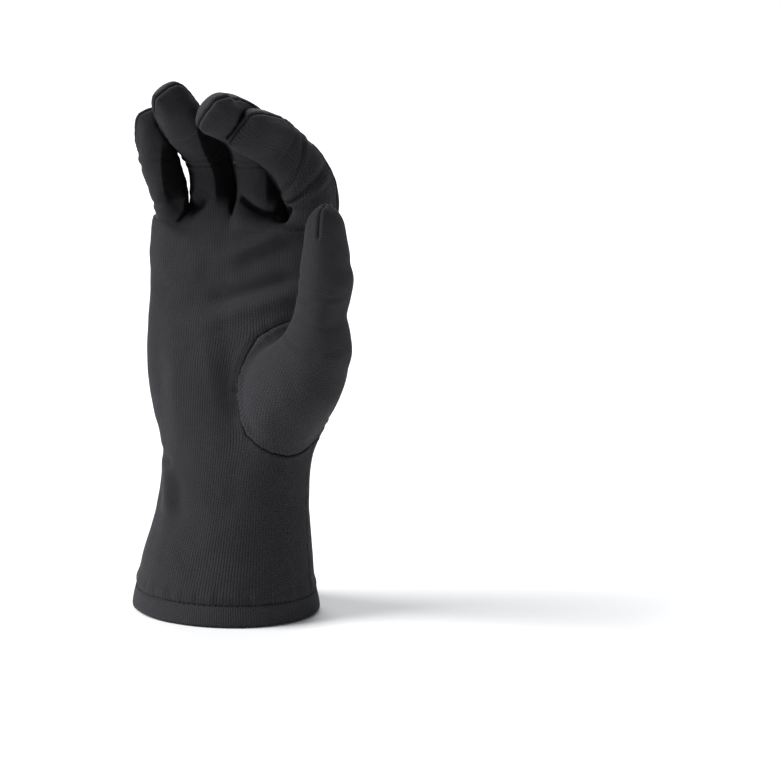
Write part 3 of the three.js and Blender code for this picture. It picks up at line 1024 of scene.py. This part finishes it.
def make_hem():
    """The turned-up band round the cuff: one closed ring with a soft folded edge."""
    bm = bmesh.new()
    knit = bm.loops.layers.uv.new("Knit")
    rings = []
    for grow, z in HEM_SECTION:
        ring = bmesh.ops.create_circle(bm, segments=HEM_SIDES, radius=1)["verts"]
        for i, vert in enumerate(ring):
            place = body_place(i, max(z, 0.0) / BODY_LENGTH, grow, HEM_SIDES)
            lift = noise.noise(Vector((place.x, place.y, 0)) / 9) * (1 - z / HEM_DEPTH)
            vert.co = Vector((place.x, place.y, z + HEM_LIFT * (1 + lift)))
        rings.append(ring)
    for low, high in zip(rings, rings[1:] + rings[:1]):
        low, high = set(low), set(high)
        edges = [e for e in bm.edges if set(e.verts) <= low or set(e.verts) <= high]
        edges = [e for e in edges if len(e.link_faces) < 2]
        bmesh.ops.bridge_loops(bm, edges=edges)
    bmesh.ops.recalc_face_normals(bm, faces=bm.faces)
    for face in bm.faces:
        centre = face.calc_center_median()
        for loop in face.loops:
            co = loop.vert.co
            # Kept on the same side of the turn's start as the rest of its face
            turn = math.atan2(co.y, co.x)
            turn += 2 * math.pi * round((math.atan2(centre.y, centre.x) - turn) / (2 * math.pi))
            loop[knit].uv = (turn * CUFF_RADIUS, co.z)
    bmesh.ops.scale(bm, vec=(MM, MM, MM), verts=bm.verts)
    piece = piece_from(bm, "cuff_hem_cloth")
    smooth = piece.modifiers.new("smooth", "SUBSURF")
    smooth.levels = smooth.render_levels = 2
    return piece


def make_stitches():
    """The row of short stitches that holds the hem up, lying in its groove."""
    bm = bmesh.new()
    for i in range(STITCHES):
        column = i / STITCHES * BODY_SIDES
        here = body_place(column, STITCH_HEIGHT / BODY_LENGTH, STITCH_OUT)
        ahead = body_place(column + 0.2, STITCH_HEIGHT / BODY_LENGTH, STITCH_OUT)
        way = (ahead - here).normalized()
        turn = Matrix((way, Vector((0, 0, 1)).cross(way), (0, 0, 1))).transposed().to_4x4()
        size = Matrix.Diagonal((*STITCH_SIZE, 1))
        lie = Matrix.Translation(here * MM) @ Matrix.Scale(MM, 4) @ turn @ size
        bmesh.ops.create_uvsphere(bm, u_segments=8, v_segments=6, radius=1, matrix=lie)
    return piece_from(bm, "hem_stitches")


def new_material(name, roughness):
    """A material with its nodes, links and shader, of the given roughness."""
    mat = bpy.data.materials.new(name)
    mat.use_nodes = True
    nodes, links = mat.node_tree.nodes, mat.node_tree.links
    shader = nodes["Principled BSDF"]
    shader.inputs["Roughness"].default_value = roughness
    return mat, nodes, links, shader


def cloudy_noise(nodes, links, scale, detail):
    """Noise that stays put on the object."""
    place = nodes.new("ShaderNodeTexCoord")
    cloud = nodes.new("ShaderNodeTexNoise")
    cloud.inputs["Scale"].default_value = scale
    cloud.inputs["Detail"].default_value = detail
    links.new(place.outputs["Object"], cloud.inputs["Vector"])
    return cloud.outputs["Fac"]


def shades(nodes, links, tone, dark, light, low=0.0, high=1.0):
    """A tone turned into a colour between dark, at low, and light, at high."""
    colour = nodes.new("ShaderNodeValToRGB")
    for element, at, shade in zip(colour.color_ramp.elements, (low, high), (dark, light)):
        element.position = at
        element.color = (*shade, 1)
    links.new(tone, colour.inputs["Fac"])
    return colour.outputs["Color"]


def add_relief(nodes, links, shader, height, strength, depth):
    """Fine relief on a shader from a height, depth metres tall."""
    bump = nodes.new("ShaderNodeBump")
    bump.inputs["Strength"].default_value = strength
    bump.inputs["Distance"].default_value = depth
    links.new(height, bump.inputs["Height"])
    links.new(bump.outputs[0], shader.inputs["Normal"])


def knit_material(name, light, dark, seamed=True):
    """Fine jersey knit: columns of small slanted loops, flecked yarn and a soft bloom, with painted
    shade in the dips between loops and, when seamed, painted shade in hollows, on facing finger
    sides and along seams.
    """
    mat, nodes, links, shader = new_material(name, 0.82)
    shader.inputs["Specular IOR Level"].default_value = GLOSS
    shader.inputs["Sheen Weight"].default_value = SHEEN
    shader.inputs["Sheen Roughness"].default_value = SHEEN_SOFTNESS
    shader.inputs["Sheen Tint"].default_value = SHEEN_TINT

    def math_node(kind, a, b=None):
        node = nodes.new("ShaderNodeMath")
        node.operation = kind
        for socket, value in zip(node.inputs, (a, b)):
            if isinstance(value, (int, float)):
                socket.default_value = value
            elif value is not None:
                links.new(value, socket)
        return node.outputs[0]

    def attribute(name):
        node = nodes.new("ShaderNodeAttribute")
        node.attribute_name = name
        return node.outputs["Fac"]

    uv = nodes.new("ShaderNodeUVMap")
    uv.uv_map = "Knit"
    split = nodes.new("ShaderNodeSeparateXYZ")
    links.new(uv.outputs[0], split.inputs[0])
    wale = math_node("FRACT", math_node("DIVIDE", split.outputs[0], WALE))
    slant = math_node("MULTIPLY", math_node("ABSOLUTE", math_node("SUBTRACT", wale, 0.5)), 2.0)
    course = math_node("DIVIDE", split.outputs[1], COURSE)
    course = math_node("ADD", course, math_node("MULTIPLY", slant, LOOP_SLANT))
    loops = math_node("SINE", math_node("MULTIPLY", course, 2 * math.pi))
    column = math_node("SUBTRACT", 1.0, math_node("POWER", slant, 4.0))
    height = math_node("ADD", math_node("MULTIPLY", loops, LOOP_HEIGHT), column)

    fuzz = cloudy_noise(nodes, links, FUZZ_SCALE, 3)
    rough = math_node("ADD", height, math_node("MULTIPLY", fuzz, FUZZ_HEIGHT))
    if seamed:
        near = math_node("DIVIDE", attribute("seam_gap"), SEAM_LINE)
        line = math_node("EXPONENT", math_node("MULTIPLY", math_node("MULTIPLY", near, near), -1))
        rough = math_node("ADD", rough, math_node("MULTIPLY", line, SEAM_HEIGHT))
    add_relief(nodes, links, shader, rough, 1.0, KNIT_RELIEF)

    broad = math_node("MULTIPLY", cloudy_noise(nodes, links, CLOUD_SCALE, 3), CLOUD_SHARE)
    fine = math_node("MULTIPLY", fuzz, FUZZ_SHARE)
    # Painted shade and highlight: the tone follows the loops' height, darker in the dips and lighter
    # on the crests
    yarn = math_node("MULTIPLY", height, LOOP_SHADE_SHARE)
    tone = math_node("ADD", math_node("ADD", broad, fine), yarn)
    shade = shades(nodes, links, tone, dark, light, 0.3, 0.7)
    if seamed:
        # Painted shade: the colour goes towards the painted shade colour in hollows, on finger sides
        # that face a neighbour, under the middle finger and along seam lines, and sheen and gloss
        # are dulled there
        closed = nodes.new("ShaderNodeMapRange")
        closed.interpolation_type = "SMOOTHSTEP"
        closed.inputs["From Min"].default_value = HOLLOW_FROM
        closed.inputs["From Max"].default_value = HOLLOW_TO
        links.new(attribute("painted_shade_share"), closed.inputs["Value"])
        seam_painted_shade = math_node("MULTIPLY", line, SEAM_SHADE)
        painted_shade_amount = math_node("MAXIMUM", closed.outputs[0], seam_painted_shade)
        mix = nodes.new("ShaderNodeMix")
        mix.data_type = "RGBA"
        links.new(painted_shade_amount, mix.inputs["Factor"])
        links.new(shade, mix.inputs["A"])
        mix.inputs["B"].default_value = PAINTED_SHADE_COLOUR
        shade = mix.outputs["Result"]
        dulled = math_node("MULTIPLY", painted_shade_amount, SHADE_DULLING)
        open_share = math_node("SUBTRACT", 1.0, dulled)
        links.new(math_node("MULTIPLY", open_share, SHEEN), shader.inputs["Sheen Weight"])
        links.new(math_node("MULTIPLY", open_share, GLOSS), shader.inputs["Specular IOR Level"])
    links.new(shade, shader.inputs["Base Color"])
    return mat


def thread_material():
    """Dark sewing thread with a slight twist in its gloss."""
    mat, nodes, links, shader = new_material("sewing_thread", 0.75)
    shader.inputs["Specular IOR Level"].default_value = 0.2
    twist = cloudy_noise(nodes, links, TWIST_SCALE, 2)
    links.new(shades(nodes, links, twist, *THREAD_BLACK), shader.inputs["Base Color"])
    add_relief(nodes, links, shader, twist, 0.4, THREAD_RELIEF)
    return mat


def add_camera():
    """The photograph's viewing angle, with the hem at its place in the frame."""
    azimuth, elevation = math.radians(AZIMUTH), math.radians(ELEVATION)
    right = Vector((math.cos(azimuth), math.sin(azimuth), 0))
    back = Vector((
        math.sin(azimuth) * math.cos(elevation),
        -math.cos(azimuth) * math.cos(elevation),
        math.sin(elevation),
    ))
    up = back.cross(right)
    # The middle of the picture lies right of and above the middle of the hem
    across, above = FRAME_MIDDLE[0] - HEM_MIDDLE[0], HEM_MIDDLE[1] - FRAME_MIDDLE[1]
    target = (right * across + up * above) * PIXEL
    data = bpy.data.cameras.new("camera")
    data.sensor_width = 36
    data.lens = data.sensor_width * DISTANCE / PIXEL / FRAME_SIDE
    camera = add_object("camera", data)
    camera.matrix_world = Matrix((right, up, back)).transposed().to_4x4()
    camera.location = target + back * DISTANCE
    bpy.context.scene.camera = camera


def add_sun(name, source, spread, strength):
    """A broad, even light that comes from the direction of source."""
    data = bpy.data.lights.new(name, "SUN")
    data.angle = math.radians(spread)
    data.energy = strength
    light = add_object(name, data)
    light.rotation_euler = (-Vector(source)).to_track_quat("-Z", "Y").to_euler()
    light.location = Vector(source)


def add_floor():
    """A plain pale floor just under the hem."""
    bm = bmesh.new()
    bmesh.ops.create_grid(bm, x_segments=1, y_segments=1, size=6)
    bmesh.ops.translate(bm, verts=bm.verts, vec=(0, 0, -0.0003))
    floor = piece_from(bm, "floor")
    mat, _, _, shader = new_material("pale_floor", 0.9)
    shader.inputs["Base Color"].default_value = (0.8, 0.8, 0.8, 1)
    floor.data.materials.append(mat)


def add_world():
    """A white backdrop behind the liner, and a low even light on it from all round."""
    world = bpy.data.worlds.new("studio")
    world.use_nodes = True
    nodes, links = world.node_tree.nodes, world.node_tree.links
    shown = nodes["Background"]
    shown.inputs[0].default_value = (1, 1, 1, 1)
    shown.inputs[1].default_value = 1.0
    lighting = nodes.new("ShaderNodeBackground")
    lighting.inputs[0].default_value = (0.92, 0.95, 1.0, 1)
    lighting.inputs[1].default_value = AMBIENT
    path = nodes.new("ShaderNodeLightPath")
    mix = nodes.new("ShaderNodeMixShader")
    links.new(path.outputs["Is Camera Ray"], mix.inputs[0])
    links.new(lighting.outputs[0], mix.inputs[1])
    links.new(shown.outputs[0], mix.inputs[2])
    links.new(mix.outputs[0], nodes["World Output"].inputs[0])
    bpy.context.scene.world = world


shell = Shell()
body_rows = grow_cuff_and_palm(shell)
thumb_loop = cut_thumb_hole(shell, body_rows)
grow_thumb(shell, thumb_loop)
grow_fingers(shell, body_rows[-1])
shell_mesh = smooth_shell(shell)
shape_shell(shell_mesh)

palm_cloth = part_panel(shell_mesh, "palm_cloth", PALM)
back_cloth = part_panel(shell_mesh, "back_cloth", BACK)
thumb_cloth = part_panel(shell_mesh, "thumb_cloth", THUMB)
hem_cloth = make_hem()
bpy.data.meshes.remove(shell_mesh)

charcoal_knit_painted_shade = knit_material("charcoal_knit_painted_shade", *CHARCOAL)
# The hem's knit is the same charcoal painted lighter, as painted light on the hem band
hem_knit = knit_material("hem_knit", *HEM_CHARCOAL_PAINTED_LIGHT, seamed=False)
for piece, node, slot, finish in (
    (palm_cloth, "palm_panel", "knit", charcoal_knit_painted_shade),
    (back_cloth, "back_panel", "knit", charcoal_knit_painted_shade),
    (thumb_cloth, "thumb_piece", "knit", charcoal_knit_painted_shade),
    (hem_cloth, "cuff_hem", "hem_knit", hem_knit),
):
    piece.data.materials.append(finish)
    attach(piece, "root")
    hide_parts(node)

hem_stitches = make_stitches()
hem_stitches.data.materials.append(thread_material())
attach(hem_stitches, "root")

add_camera()
add_floor()
add_world()
add_sun("key", *KEY_LIGHT)
add_sun("behind", *BACK_LIGHT)
bpy.context.scene.view_settings.view_transform = "Standard"
